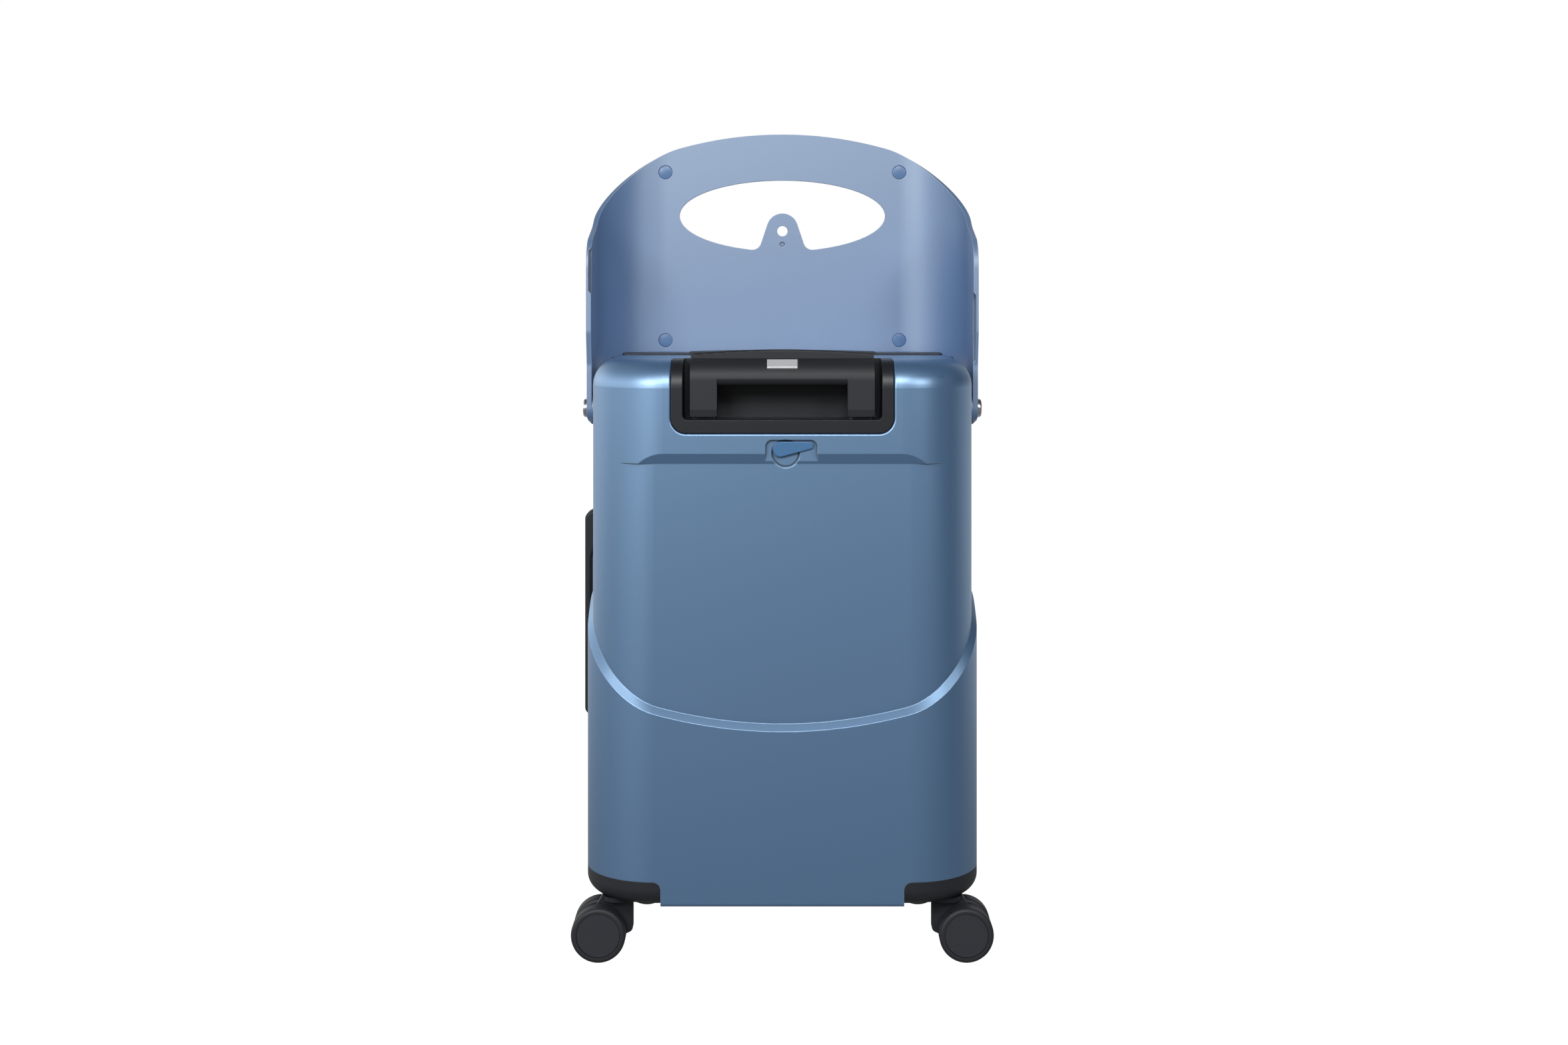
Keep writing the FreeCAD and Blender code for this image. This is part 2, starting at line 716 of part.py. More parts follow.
panel = panel.cut(rod(dimple_r, V(0, 0, dimple_z), V(0, panel_inner_y + dimple_deep, dimple_z)))
bumper_back = panel_inner_y - bumper_proud + bumper_thick
bumpers = []
for sx in sides:
    for z in bumper_zs:
        x = sx * bumper_x
        panel = panel.cut(rod(bumper_r + fit, V(x, 0, z), V(x, bumper_back + seat, z)))
        disc = rod(bumper_r, V(x, bumper_back - bumper_thick, z), V(x, bumper_back, z))
        face_edges = [e for e in disc.Edges if e.BoundBox.YMax < bumper_back - fit]
        bumpers.append(disc.makeFillet(bumper_proud, face_edges))
boss_in = upper_half_x + ear_gap
boss = rod(ear_radius, V(boss_in, 0, pivot_z), V(wing_inner_x + seat, 0, pivot_z))
panel = panel.fuse(both(boss)).removeSplitter()
panel = panel.cut(rod(bush_r + fit, V(-far, 0, pivot_z), V(far, 0, pivot_z)))
for sx, up, long in ((-1, left_rebate_up, left_rebate_long), (1, right_rebate_up, right_rebate_long)):
    low = panel_bottom + up
    inner = sx * (wing_inner_x - seat)
    floor = sx * (wing_inner_x + wing_rebate_deep)
    notch = [(inner, low - wing_rebate_slope, 0), (floor, low, 0)]
    notch += [(floor, low + long, 0), (inner, low + long + wing_rebate_slope, 0)]
    panel = panel.cut(front(notch, wing_front_y - wall, wing_front_y + wing_rebate_reach))
taper_in = wing_outer_x - ear_taper
taper_ring = rod(far, V(taper_in, 0, pivot_z), V(wing_outer_x + seat, 0, pivot_z))
taper_ring = taper_ring.cut(Part.makeCone(ear_radius, ear_radius - ear_taper - seat, ear_taper + seat,
                                          V(taper_in, 0, pivot_z), V(1, 0, 0)))
taper_ring = taper_ring.common(block(0, far, -ear_radius, ear_radius, 0, pivot_z - bolt_head_r))
panel = panel.cut(both(taper_ring))
rebate_y = panel_inner_y + rebate_lip
rebate_top = panel_bottom + rebate_high
panel = panel.cut(block(lever_x - rebate_half, lever_x + rebate_half, rebate_y, far, 0, rebate_top))
save("guard_panel", panel)
save("panel_bumpers", bumpers)

# Pivot bolts with bushes and nuts through the side walls
shell = shell.cut(rod(bolt_r + fit, V(-far, 0, pivot_z), V(far, 0, pivot_z)))
head_in = wing_outer_x + ear_gap
nut_out = upper_half_x - wall - seat
bolt = rod(bolt_head_r, V(head_in, 0, pivot_z), V(head_in + bolt_head_thick, 0, pivot_z))
bolt = bolt.makeFillet(bolt_head_soft, [e for e in bolt.Edges if e.BoundBox.XMin > head_in + fit])
shank = rod(bolt_r, V(nut_out - nut_thick, 0, pivot_z), V(head_in + fit, 0, pivot_z))
bolt = bolt.fuse(shank).removeSplitter()
bush = rod(bush_r, V(upper_half_x + seat, 0, pivot_z), V(head_in - seat, 0, pivot_z))
bush = bush.cut(rod(bolt_r + seat, V(0, 0, pivot_z), V(far, 0, pivot_z)))
nut = rod(nut_r, V(nut_out - nut_thick, 0, pivot_z), V(nut_out, 0, pivot_z))
nut = nut.cut(rod(bolt_r + seat, V(0, 0, pivot_z), V(far, 0, pivot_z)))
save("pivot_bolts", both(bolt))
save("pivot_bushes", both(bush))
save("pivot_nuts", both(nut))

# Turn latch in its pocket under the cup
pocket = [(pocket_left, 0, 0), (pocket_right, 0, 0), (pocket_right, pocket_top, pocket_round)]
pocket += [(pocket_left, pocket_top, pocket_round)]
shell = shell.cut(front(pocket, -shoulder_back - wall, pocket_floor_y).common(
    block(-far, far, -far, 0, shoulder_bottom - scoop_r, case_top)))
scoop_y = scoop_deep - upper_half_y
shell = shell.cut(rod(scoop_r, V(scoop_x, -far, scoop_z), V(scoop_x, scoop_y, scoop_z)))
groove_foot = V(scoop_x, scoop_y + scoop_groove_deep, scoop_z)
groove = rod(scoop_r, V(scoop_x, -far, scoop_z), groove_foot)
shell = shell.cut(groove.cut(rod(scoop_r - scoop_groove, V(scoop_x, -far, scoop_z), groove_foot)))
lever_back_y = lever_face_y + lever_thick
big = V(lever_x, 0, lever_z)
span = V(lever_tip_right, 0, lever_tip_up)
tip = big + span
spread = math.acos((lever_big_r - lever_tip_r) / span.Length)
heading = math.atan2(span.z, span.x)
rim_points = []
for turn_by in (spread, -spread):
    away = V(math.cos(heading + turn_by), 0, math.sin(heading + turn_by))
    rim_points.append((big + away * lever_big_r, tip + away * lever_tip_r))
axis_way = V(math.cos(heading), 0, math.sin(heading))
outline = [Part.makeLine(rim_points[0][0], rim_points[0][1])]
outline += [Part.Arc(rim_points[0][1], tip + axis_way * lever_tip_r, rim_points[1][1]).toShape()]
outline += [Part.makeLine(rim_points[1][1], rim_points[1][0])]
outline += [Part.Arc(rim_points[1][0], big - axis_way * lever_big_r, rim_points[0][0]).toShape()]
lever = Part.Face(Part.Wire(outline)).extrude(V(0, lever_thick, 0))
lever.translate(V(0, lever_face_y, 0))
soft = [e for e in lever.Edges if abs(e.BoundBox.YMax - lever_face_y) < fit]
lever = lever.makeFillet(lever_thick / 2, soft)
lever = lever.fuse(rod(lever_boss_r, V(lever_x, lever_back_y - fit, lever_z),
                       V(lever_x, pocket_floor_y - 2 * fit, lever_z))).removeSplitter()
pin_tip_y = lever_face_y + lever_thick / 2
pin_head_y = wall - upper_half_y + seat
lever = lever.cut(rod(lever_pin_r + fit, V(lever_x, pin_tip_y - fit, lever_z), V(lever_x, 0, lever_z)))
save("latch_lever", lever)
pin = rod(lever_pin_r, V(lever_x, pin_tip_y, lever_z), V(lever_x, pin_head_y + fit, lever_z))
pin = pin.fuse(rod(lever_pin_head_r, V(lever_x, pin_head_y, lever_z),
                   V(lever_x, pin_head_y + lever_pin_head, lever_z))).removeSplitter()
shell = shell.cut(rod(lever_pin_r + seat, V(lever_x, -far, lever_z), V(lever_x, 0, lever_z)))
save("latch_pin", pin)

# Side handle on the left wall: a bar on two sprung posts that slide out through plates
side_in_x = side_out_x - side_bar_thick
side_low = side_z - side_half_long
side_high = side_z + side_half_long
plate_out_x = upper_half_x + side_plate_thick
bar_foot_x = plate_out_x + seat
bow = [(-side_out_x, side_low + side_end_drop, side_end_drop)]
bow += [(-side_out_x, side_high - side_end_drop, side_end_drop)]
bow += [(-bar_foot_x, side_high, side_foot_round)]
bow += [(-bar_foot_x, side_high - side_plate_long, side_foot_round)]
bow += [(-side_in_x, side_high - 2 * side_plate_long, 2 * side_end_drop)]
bow += [(-side_in_x, side_low + 2 * side_plate_long, 2 * side_end_drop)]
bow += [(-bar_foot_x, side_low + side_plate_long, side_foot_round)]
bow += [(-bar_foot_x, side_low, side_foot_round)]
bar = front(bow, side_y - side_half_wide, side_y + side_half_wide)
posts = []
stops = []
plates = []
for sz in sides:
    half = side_plate_long / 2
    z = side_z + sz * (side_half_long - half)
    stop_x = upper_half_x - wall - side_travel - seat
    post = rod(side_post_r, V(-plate_out_x - fit, side_y, z), V(-stop_x + side_stop_thick, side_y, z))
    posts.append(post)
    hole = rod(side_post_r + fit, V(-far, side_y, z), V(0, side_y, z))
    ring = rod(side_stop_r, V(-stop_x, side_y, z), V(-stop_x + side_stop_thick, side_y, z))
    stops.append(ring.cut(rod(side_post_r + seat, V(-far, side_y, z), V(0, side_y, z))))
    shell = shell.cut(hole)
    pad = block(-plate_out_x, -upper_half_x - seat, side_y - side_half_wide, side_y + side_half_wide,
                z - half, z + half)
    pad = pad.makeFillet(side_plate_soft, [e for e in pad.Edges if e.BoundBox.XMax < -plate_out_x + fit])
    plates.append(pad.cut(hole))
bar_rim = [e for e in bar.Edges if e.BoundBox.XMin < -side_out_x + fit and e.BoundBox.YLength < fit]
bar = bar.makeFillet(side_bar_soft, bar_rim)
save("side_handle", bar.fuse(posts).removeSplitter())
save("side_handle_stops", stops)
save("side_handle_plates", plates)

# Carry handle on the top: a flat bow on two posts between flat end plates
bow_low = case_top + carry_end_thick + fit
crown = case_top + carry_bow_rise
bow_lip = bow_low + carry_bow_lip
over = Part.Arc(V(-carry_bow_half, 0, bow_lip), V(0, 0, crown), V(carry_bow_half, 0, bow_lip)).toShape()
ring = [V(carry_bow_half, 0, bow_lip), V(carry_bow_half, 0, bow_low)]
ring += [V(-carry_bow_half, 0, bow_low), V(-carry_bow_half, 0, bow_lip)]
strap = Part.Face(Part.Wire([over, Part.makePolygon(ring)])).extrude(V(0, 2 * carry_half_wide, 0))
strap.translate(V(0, carry_y - carry_half_wide, 0))
strap_soft = [e for e in strap.Edges if e.BoundBox.ZMax > crown - fit and e.BoundBox.YLength < fit]
strap = strap.makeFillet(carry_bow_soft, strap_soft)
stops = []
plates = []
for sx in sides:
    x = sx * carry_post_x
    stop_z = case_top - wall - carry_travel - seat
    stop_low = stop_z - carry_stop_thick
    strap = strap.fuse(rod(carry_post_r, V(x, carry_y, stop_low), V(x, carry_y, bow_low + fit)))
    hole = rod(carry_post_r + fit, V(x, carry_y, stop_low), V(x, carry_y, far))
    shell = shell.cut(hole)
    ring = rod(carry_stop_r, V(x, carry_y, stop_low), V(x, carry_y, stop_z))
    stops.append(ring.cut(rod(carry_post_r + seat, V(x, carry_y, 0), V(x, carry_y, case_top))))
    x0, x1 = sorted((sx * (carry_post_x - carry_land), sx * carry_end_x))
    plate = block(x0, x1, carry_y - carry_half_wide, carry_y + carry_half_wide,
                  case_top + seat, case_top + carry_end_thick)
    plate = plate.makeFillet(carry_end_round, [e for e in plate.Edges if e.BoundBox.ZLength > seat])
    plates.append(plate.cut(hole))
save("carry_handle", strap.removeSplitter())
save("carry_handle_stops", stops)
save("carry_handle_plates", plates)

# Front lid, the two halves of its zip and the cloth strip it turns on
lid = skin(0, wall).common(lid_zone(-zip_gap_half))
save("lid_shell", lid)
case_band = lid_zone(tape_reach).cut(lid_zone(zip_part))
lid_band = lid_zone(-zip_part).cut(lid_zone(-tape_reach))
tape_skin = skin(wall + fit, tape_thick)
save("zip_tape_case", tape_skin.common(case_band))
save("zip_tape_lid", tape_skin.common(lid_band))
chain_skin = skin(wall - chain_high, chain_high).common(block(-far, chain_end_x, 0, far, 0, far + case_top))
save("zip_chain_case", chain_skin.common(lid_zone(zip_part + chain_wide).cut(lid_zone(zip_part))))
save("zip_chain_lid", chain_skin.common(lid_zone(-zip_part).cut(lid_zone(-zip_part - chain_wide))))
strip = skin(wall + tape_thick + 2 * fit, hinge_strip_thick)
strip = strip.common(block(upper_flat, far, zip_y - hinge_strip_reach, zip_y + hinge_strip_reach,
                           hinge_strip_low, hinge_strip_high))
save("lid_hinge_strip", strip)
slider_in_x = upper_half_x - wall + chain_high + fit
for z, name in zip(slider_zs, ("upper", "lower")):
    body = block(-slider_in_x - slider_thick, -slider_in_x, zip_y - slider_half_y, zip_y + slider_half_y,
                 z - slider_half_z, z + slider_half_z)
    outer_edges = [e for e in body.Edges if e.BoundBox.XMax < -slider_in_x - slider_thick / 2]
    body = body.makeFillet(slider_soft, outer_edges)
    pull_in = -slider_in_x - slider_thick - fit
    pull_out = pull_in - pull_thick
    knuckle = pull_thick / 2
    tag = [(pull_out, z - pull_long, 0), (pull_in, z - pull_long, 0)]
    tag += [(pull_in, z + knuckle, knuckle - seat), (pull_out, z + knuckle, knuckle - seat)]
    pull = front(tag, zip_y - pull_half_y, zip_y + pull_half_y)
    eye = z - pull_long + pull_half_y
    pull = pull.cut(rod(pull_eye_r, V(-far, zip_y, eye), V(0, zip_y, eye)))
    save("zip_slider_" + name, body)
    save("zip_pull_" + name, pull)
save("main_shell", shell)

# Corner housings, one per caster
full = plan(belt_half_x, -belt_back, belt_back, belt_corner, belt_corner, case_bottom, housing_top)
full = full.makeFillet(housing_round, level_edges(full, case_bottom))
inside_corner = belt_corner - housing_wall
inside = plan(belt_half_x - housing_wall, housing_wall - belt_back, belt_back - housing_wall,
              inside_corner, inside_corner, case_bottom + housing_wall, housing_top + wall)
inside = inside.makeFillet(housing_round - housing_wall, level_edges(inside, case_bottom + housing_wall))
one = full.common(corner_box(-let_in, housing_top + let_in))
post = rod(housing_boss_r, V(swivel_x, -swivel_y, case_bottom), V(swivel_x, -swivel_y, housing_top))
one = one.cut(inside.common(corner_box(-let_in - housing_wall, far)).cut(post))
one = one.cut(rod(stem_r + fit, V(swivel_x, -swivel_y, 0), V(swivel_x, -swivel_y, far)))

# Caster: fork with stem, and a pair of wheels on one turning axle
nose_x = trail + fork_nose
nose_low = wheel_r - fork_nose
web = [(-flange_r, fork_top, 0), (flange_r, fork_top, 0), (nose_x, wheel_r + fork_nose, fork_nose_round)]
web += [(nose_x, nose_low, fork_nose_round), (trail - fork_nose_round, nose_low, fork_nose_round)]
web += [(-flange_r, stem_foot - fork_heel, fork_heel_round)]
web = front(web, -fork_half, fork_half)
fork = web.fuse(rod(flange_r, V(0, 0, flange_low), V(0, 0, fork_top))).removeSplitter()
fork = fork.cut(rod(stem_r + seat, V(0, 0, stem_foot - seat), V(0, 0, far)))
fork = fork.cut(rod(axle_r + fit, V(trail, -far, wheel_r), V(trail, far, wheel_r)))
stem = rod(stem_r, V(0, 0, stem_foot), V(0, 0, stem_head))
axle = rod(axle_r, V(trail, -axle_half, wheel_r), V(trail, axle_half, wheel_r))
wheel_out = wheel_half_gap + wheel_wide


def wheel_disc(radius, y0, y1):
    return rod(radius, V(trail, y0, wheel_r), V(trail, y1, wheel_r))


hub = wheel_disc(hub_r - seat, wheel_half_gap, wheel_out - hub_dish)
hub = hub.makeFillet(hub_dish, [e for e in hub.Edges if e.BoundBox.YMin > wheel_out - hub_dish - fit])
hub = hub.cut(wheel_disc(axle_r + seat, 0, axle_half + seat))
tyre = wheel_disc(wheel_r, wheel_half_gap, wheel_out)
tyre = tyre.makeFillet(tyre_round, [e for e in tyre.Edges if e.BoundBox.YLength < fit])
tyre = tyre.cut(wheel_disc(hub_r, 0, far))


def pair(shape):
    return [shape, shape.mirror(V(0, 0, 0), V(0, 1, 0))]


def placed(shape, sx, sy):
    # The back casters trail outward and the front ones inward.
    moved = shape.copy()
    if sy > 0:
        moved = flip(moved)
    moved.translate(V(swivel_x, 0, 0))
    if sx < 0:
        moved = flip(moved)
    moved.translate(V(0, sy * swivel_y, 0))
    return moved


for sy, depth_name in ((-1, "back"), (1, "front")):
    for sx, hand_name in ((-1, "left"), (1, "right")):
        place = depth_name + "_" + hand_name
        home = one.copy()
        if sx < 0:
            home = flip(home)
        if sy > 0:
            home = home.mirror(V(0, 0, 0), V(0, 1, 0))
        save("housing_" + place, home)
        save("caster_fork_" + place, placed(fork, sx, sy))
        save("caster_stem_" + place, placed(stem, sx, sy))
        save("wheel_axle_" + place, placed(axle, sx, sy))
        save("wheel_hubs_" + place, [placed(s, sx, sy) for s in pair(hub)])
        save("wheel_tyres_" + place, [placed(s, sx, sy) for s in pair(tyre)])
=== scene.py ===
# %% [markdown]
# # A ride-on suitcase, dressed for its photograph
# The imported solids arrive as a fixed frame: every piece is already where the real object has it, in
# metres. This lesson gives them light, a camera and finishes, and makes the zip, the cloth and the
# soft buttons that a plain solid cannot show.

# %% The frame
import json
import math

import bmesh
import bpy
from mathutils import Matrix, Vector


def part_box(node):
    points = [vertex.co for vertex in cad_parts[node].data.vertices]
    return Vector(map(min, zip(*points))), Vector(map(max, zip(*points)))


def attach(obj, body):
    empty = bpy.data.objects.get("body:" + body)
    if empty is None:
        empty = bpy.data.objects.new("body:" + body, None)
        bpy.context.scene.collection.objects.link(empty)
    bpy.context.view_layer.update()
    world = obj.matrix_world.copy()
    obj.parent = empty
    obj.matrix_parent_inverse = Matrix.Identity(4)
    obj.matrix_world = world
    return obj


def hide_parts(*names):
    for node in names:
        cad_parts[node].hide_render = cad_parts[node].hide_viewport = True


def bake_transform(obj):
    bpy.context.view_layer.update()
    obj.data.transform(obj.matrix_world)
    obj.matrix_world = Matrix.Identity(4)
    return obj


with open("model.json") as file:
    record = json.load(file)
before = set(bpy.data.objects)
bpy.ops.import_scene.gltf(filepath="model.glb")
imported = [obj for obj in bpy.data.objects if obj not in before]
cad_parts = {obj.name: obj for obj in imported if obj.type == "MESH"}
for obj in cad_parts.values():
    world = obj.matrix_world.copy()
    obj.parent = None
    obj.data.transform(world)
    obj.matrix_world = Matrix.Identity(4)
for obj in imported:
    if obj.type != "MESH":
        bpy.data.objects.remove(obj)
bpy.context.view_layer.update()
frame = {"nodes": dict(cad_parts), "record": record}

scene = bpy.context.scene
mm = 0.001
print("solids:", len(frame["nodes"]))

# %% [markdown]
# ## Camera
# The photograph looks level at the handle side, with its horizon just under the panel's hand hole.
# A tilted camera would make the walls lean, so the camera stays level and its lens is shifted down,
# as on a view camera. The focal length follows from the case's width in the picture at a distance
# of 1.8 m.

# %% Camera
picture_wide = 2353
picture_focal = 2904
horizon_above_middle = 372
middle_right_of_case = 2.5
camera_distance = 1.8
camera_height = 0.605
camera_data = bpy.data.cameras.new("camera")
camera_data.sensor_width = 36
camera_data.lens = camera_data.sensor_width * picture_focal / picture_wide
camera_data.shift_x = middle_right_of_case / picture_wide
camera_data.shift_y = -horizon_above_middle / picture_wide
camera = bpy.data.objects.new("camera", camera_data)
camera.location = (0, -camera_distance, camera_height)
camera.rotation_euler = (math.radians(90), 0, 0)
scene.collection.objects.link(camera)
scene.camera = camera
print("lens", round(camera_data.lens, 2), "mm")

# %% [markdown]
# ## Nodes and colours
# Every finish below is a small node tree. One helper adds a node, sets its properties and sockets
# and links what comes from another node; one function turns a colour as seen on a screen into the
# linear numbers that light needs.

# %% Helpers for the finishes
def linear(code):
    """An sRGB colour written #rrggbb as linear red, green, blue and alpha."""
    parts = [int(code[i:i + 2], 16) / 255 for i in (1, 3, 5)]
    return [p / 12.92 if p <= 0.04045 else ((p + 0.055) / 1.055) ** 2.4 for p in parts] + [1.0]


def add(tree, kind, settings):
    """Adds a node; a setting is a property, a socket's value, or another node's output to link."""
    node = tree.nodes.new(kind)
    for name, value in settings.items():
        if isinstance(name, str) and hasattr(node, name):
            setattr(node, name, value)
        elif isinstance(value, bpy.types.NodeSocket):
            tree.links.new(value, node.inputs[name])
        else:
            node.inputs[name].default_value = value
    return node


def empty_finish(name):
    """A new material with no nodes, and its tree."""
    material = bpy.data.materials.new(name)
    material.use_nodes = True
    material.node_tree.nodes.clear()
    return material, material.node_tree


def per_metre(size):
    """The texture scale whose pattern repeats at this size in millimetres."""
    return 1 / (size * mm)


print("middle grey in linear light:", round(linear("#808080")[0], 3))

# %% [markdown]
# ## Light
# The picture was taken in a white studio. Reflections show a white wall on the left, lit in its
# lower half, another behind the object, and a dim room on the camera's side and on the right, which
# leaves the case dark enough for its highlights to stand out. Plain light falls mostly from above,
# so ledges are light and undercuts are dark. The camera itself sees only white.

# %% World
world = bpy.data.worlds.new("white_studio")
scene.world = world
world.use_nodes = True
tree = world.node_tree
tree.nodes.clear()
ray = add(tree, "ShaderNodeLightPath", {})
way = add(tree, "ShaderNodeSeparateXYZ", {
    0: add(tree, "ShaderNodeTexCoord", {}).outputs["Generated"]})
wall_behind = add(tree, "ShaderNodeMapRange", {
    "Value": way.outputs["Y"], "From Min": 0.5, "From Max": 0.95, "To Min": 0.06, "To Max": 0.6})
wall_left = add(tree, "ShaderNodeMapRange", {
    "Value": way.outputs["X"], "From Min": -0.08, "From Max": -0.75, "To Min": 0.06, "To Max": 1.8})
wall_low = add(tree, "ShaderNodeMapRange", {
    "Value": way.outputs["Z"], "From Min": 0.2, "From Max": 0.6, "To Min": 1.0, "To Max": 0.2})
left_lit = add(tree, "ShaderNodeMath", {
    "operation": "MULTIPLY", 0: wall_left.outputs[0], 1: wall_low.outputs[0]})
white_walls = add(tree, "ShaderNodeMath", {
    "operation": "MAXIMUM", 0: wall_behind.outputs[0], 1: left_lit.outputs[0]})
ceiling = add(tree, "ShaderNodeMapRange", {
    "Value": way.outputs["Z"], "From Min": -0.1, "From Max": 0.8, "To Min": 0.02, "To Max": 0.3})
white_to_camera = add(tree, "ShaderNodeMath", {
    "operation": "MAXIMUM", 0: ray.outputs["Is Camera Ray"], 1: white_walls.outputs[0]})
camera_or_gloss = add(tree, "ShaderNodeMath", {
    "operation": "MAXIMUM", 0: ray.outputs["Is Camera Ray"], 1: ray.outputs["Is Glossy Ray"]})
seen = add(tree, "ShaderNodeMath", {
    "operation": "MAXIMUM", 0: camera_or_gloss.outputs[0], 1: ray.outputs["Is Transmission Ray"]})
seen_room = add(tree, "ShaderNodeBackground", {
    "Color": (1, 1, 1, 1), "Strength": white_to_camera.outputs[0]})
plain_light = add(tree, "ShaderNodeBackground", {
    "Color": (1, 1, 1, 1), "Strength": ceiling.outputs[0]})
both = add(tree, "ShaderNodeMixShader", {
    0: seen.outputs[0], 1: plain_light.outputs[0], 2: seen_room.outputs[0]})
add(tree, "ShaderNodeOutputWorld", {"Surface": both.outputs[0]})
scene.view_settings.view_transform = "Standard"
print("world nodes:", len(tree.nodes))

# %% [markdown]
# A wide box hangs above the camera and gives the even light of the panel. Two more stand to its
# left and right; the left one is the stronger, so the blue fades from left to right. Their bright
# spots sit on the rounded upper corners of the case, which fixes how far out and how high they
# stand.

# %% Lamps
aim = Vector((0, 0, 0.42))


def soft_box(name, place, wide, high, power):
    """A rectangular area lamp at a place, turned to the middle of the case."""
    lamp = bpy.data.lights.new(name, "AREA")
    lamp.shape = "RECTANGLE"
    lamp.size = wide
    lamp.size_y = high
    lamp.energy = power
    box = bpy.data.objects.new(name, lamp)
    box.location = place
    box.rotation_mode = "QUATERNION"
    box.rotation_quaternion = (aim - Vector(place)).to_track_quat("-Z", "Y")
    scene.collection.objects.link(box)


soft_box("front_box", (0.1, -2.2, 1.75), 0.7, 0.5, 21)
soft_box("left_box", (-0.95, -1.95, 1.25), 0.8, 0.5, 19)
soft_box("right_box", (1.25, -1.8, 1.25), 0.4, 0.4, 10)

# %% [markdown]
# ## Floor
# A pale floor under the wheels. The camera sees it white by its own glow. Reflections see it white
# behind the case and dimmer in front, as in a room lit from the back. The plain diffuse part that
# is added keeps the shadow.

# %% Floor
floor_finish, tree = empty_finish("pale_floor")
ray = add(tree, "ShaderNodeLightPath", {})
way = add(tree, "ShaderNodeSeparateXYZ", {0: add(tree, "ShaderNodeTexCoord", {}).outputs["Object"]})
lit_behind = add(tree, "ShaderNodeMapRange", {
    "Value": way.outputs["Y"], "From Min": -0.2, "From Max": 1.6, "To Min": 0.09, "To Max": 0.7})
gloss = add(tree, "ShaderNodeMath", {
    "operation": "MULTIPLY", 0: ray.outputs["Is Glossy Ray"], 1: lit_behind.outputs[0]})
glowing = add(tree, "ShaderNodeMath", {
    "operation": "MAXIMUM", 0: ray.outputs["Is Camera Ray"], 1: gloss.outputs[0]})
glow = add(tree, "ShaderNodeEmission", {"Color": (1, 1, 1, 1), "Strength": glowing.outputs[0]})
paint = add(tree, "ShaderNodeBsdfDiffuse", {"Color": (0.12, 0.12, 0.12, 1)})
both = add(tree, "ShaderNodeAddShader", {0: glow.outputs[0], 1: paint.outputs[0]})
add(tree, "ShaderNodeOutputMaterial", {"Surface": both.outputs[0]})

floor_half = 40
sheet = bmesh.new()
bmesh.ops.create_grid(sheet, x_segments=1, y_segments=1, size=floor_half)
floor_mesh = bpy.data.meshes.new("floor")
sheet.to_mesh(floor_mesh)
sheet.free()
floor_mesh.materials.append(floor_finish)
floor = bpy.data.objects.new("floor", floor_mesh)
scene.collection.objects.link(floor)
print("floor:", tuple(round(v, 2) for v in floor.dimensions))

# %% [markdown]
# ## Pearl polycarbonate
# The two shells are sheet polycarbonate with mica flakes, drawn over a mould by vacuum. The eye
# sees a satin blue with a pale sheen and a fine glitter, and every crisp edge carries a painted
# highlight, a pale line mixed into its colour. Two finishes are mixed: blue plastic, and
# pale flakes that shine like a soft metal where they face a lamp. The flakes' glitter is a fine
# noise in colour and relief; real flakes measure about 0.1 mm and are drawn at 0.9 mm, so that they
# show. For the edges, a Bevel node gives the normal of a rounded edge; where it turns away from the
# real surface there is an edge, and the colour is painted paler there as a highlight. In narrow
# corners an Ambient Occlusion node darkens the colour, which is painted shade.

# %% Edges, creases and flakes
no_painted_highlight = 0.99
full_painted_highlight = 0.9


def painted_edge_highlights(tree, radius, colour, pale):
    """The rounded normal, and the colour painted paler, as a highlight, where that normal leaves the
    surface.
    """
    rounded = add(tree, "ShaderNodeBevel", {"samples": 8, "Radius": radius * mm})
    surface = add(tree, "ShaderNodeNewGeometry", {})
    along = add(tree, "ShaderNodeVectorMath", {
        "operation": "DOT_PRODUCT", 0: rounded.outputs[0], 1: surface.outputs["Normal"]})
    edge = add(tree, "ShaderNodeMapRange", {
        "Value": along.outputs["Value"], "From Min": no_painted_highlight, "From Max": full_painted_highlight})
    # Painted highlight: along edges the colour is mixed towards the pale one.
    painted_highlight_mix = add(tree, "ShaderNodeMix", {"data_type": "RGBA", "Factor": edge.outputs[0]})
    tree.links.new(colour, painted_highlight_mix.inputs["A"])
    painted_highlight_mix.inputs["B"].default_value = linear(pale)
    return rounded.outputs[0], painted_highlight_mix.outputs["Result"]


def painted_crease_shade(tree, colour, reach, deep):
    """A colour, linked or written, that falls to this share where walls close in on it, as painted
    shade.
    """
    # Painted shade: Ambient Occlusion darkens the colour in corners and creases.
    painted_shade_ao = add(tree, "ShaderNodeAmbientOcclusion", {
        "samples": 8, "only_local": True, "Distance": reach * mm})
    share = add(tree, "ShaderNodeMapRange", {
        "Value": painted_shade_ao.outputs["AO"], "From Min": 0.5, "From Max": 0.95, "To Min": deep,
        "To Max": 1.0})
    return add(tree, "ShaderNodeVectorMath", {
        "operation": "SCALE", 0: colour, "Scale": share.outputs[0]}).outputs[0]


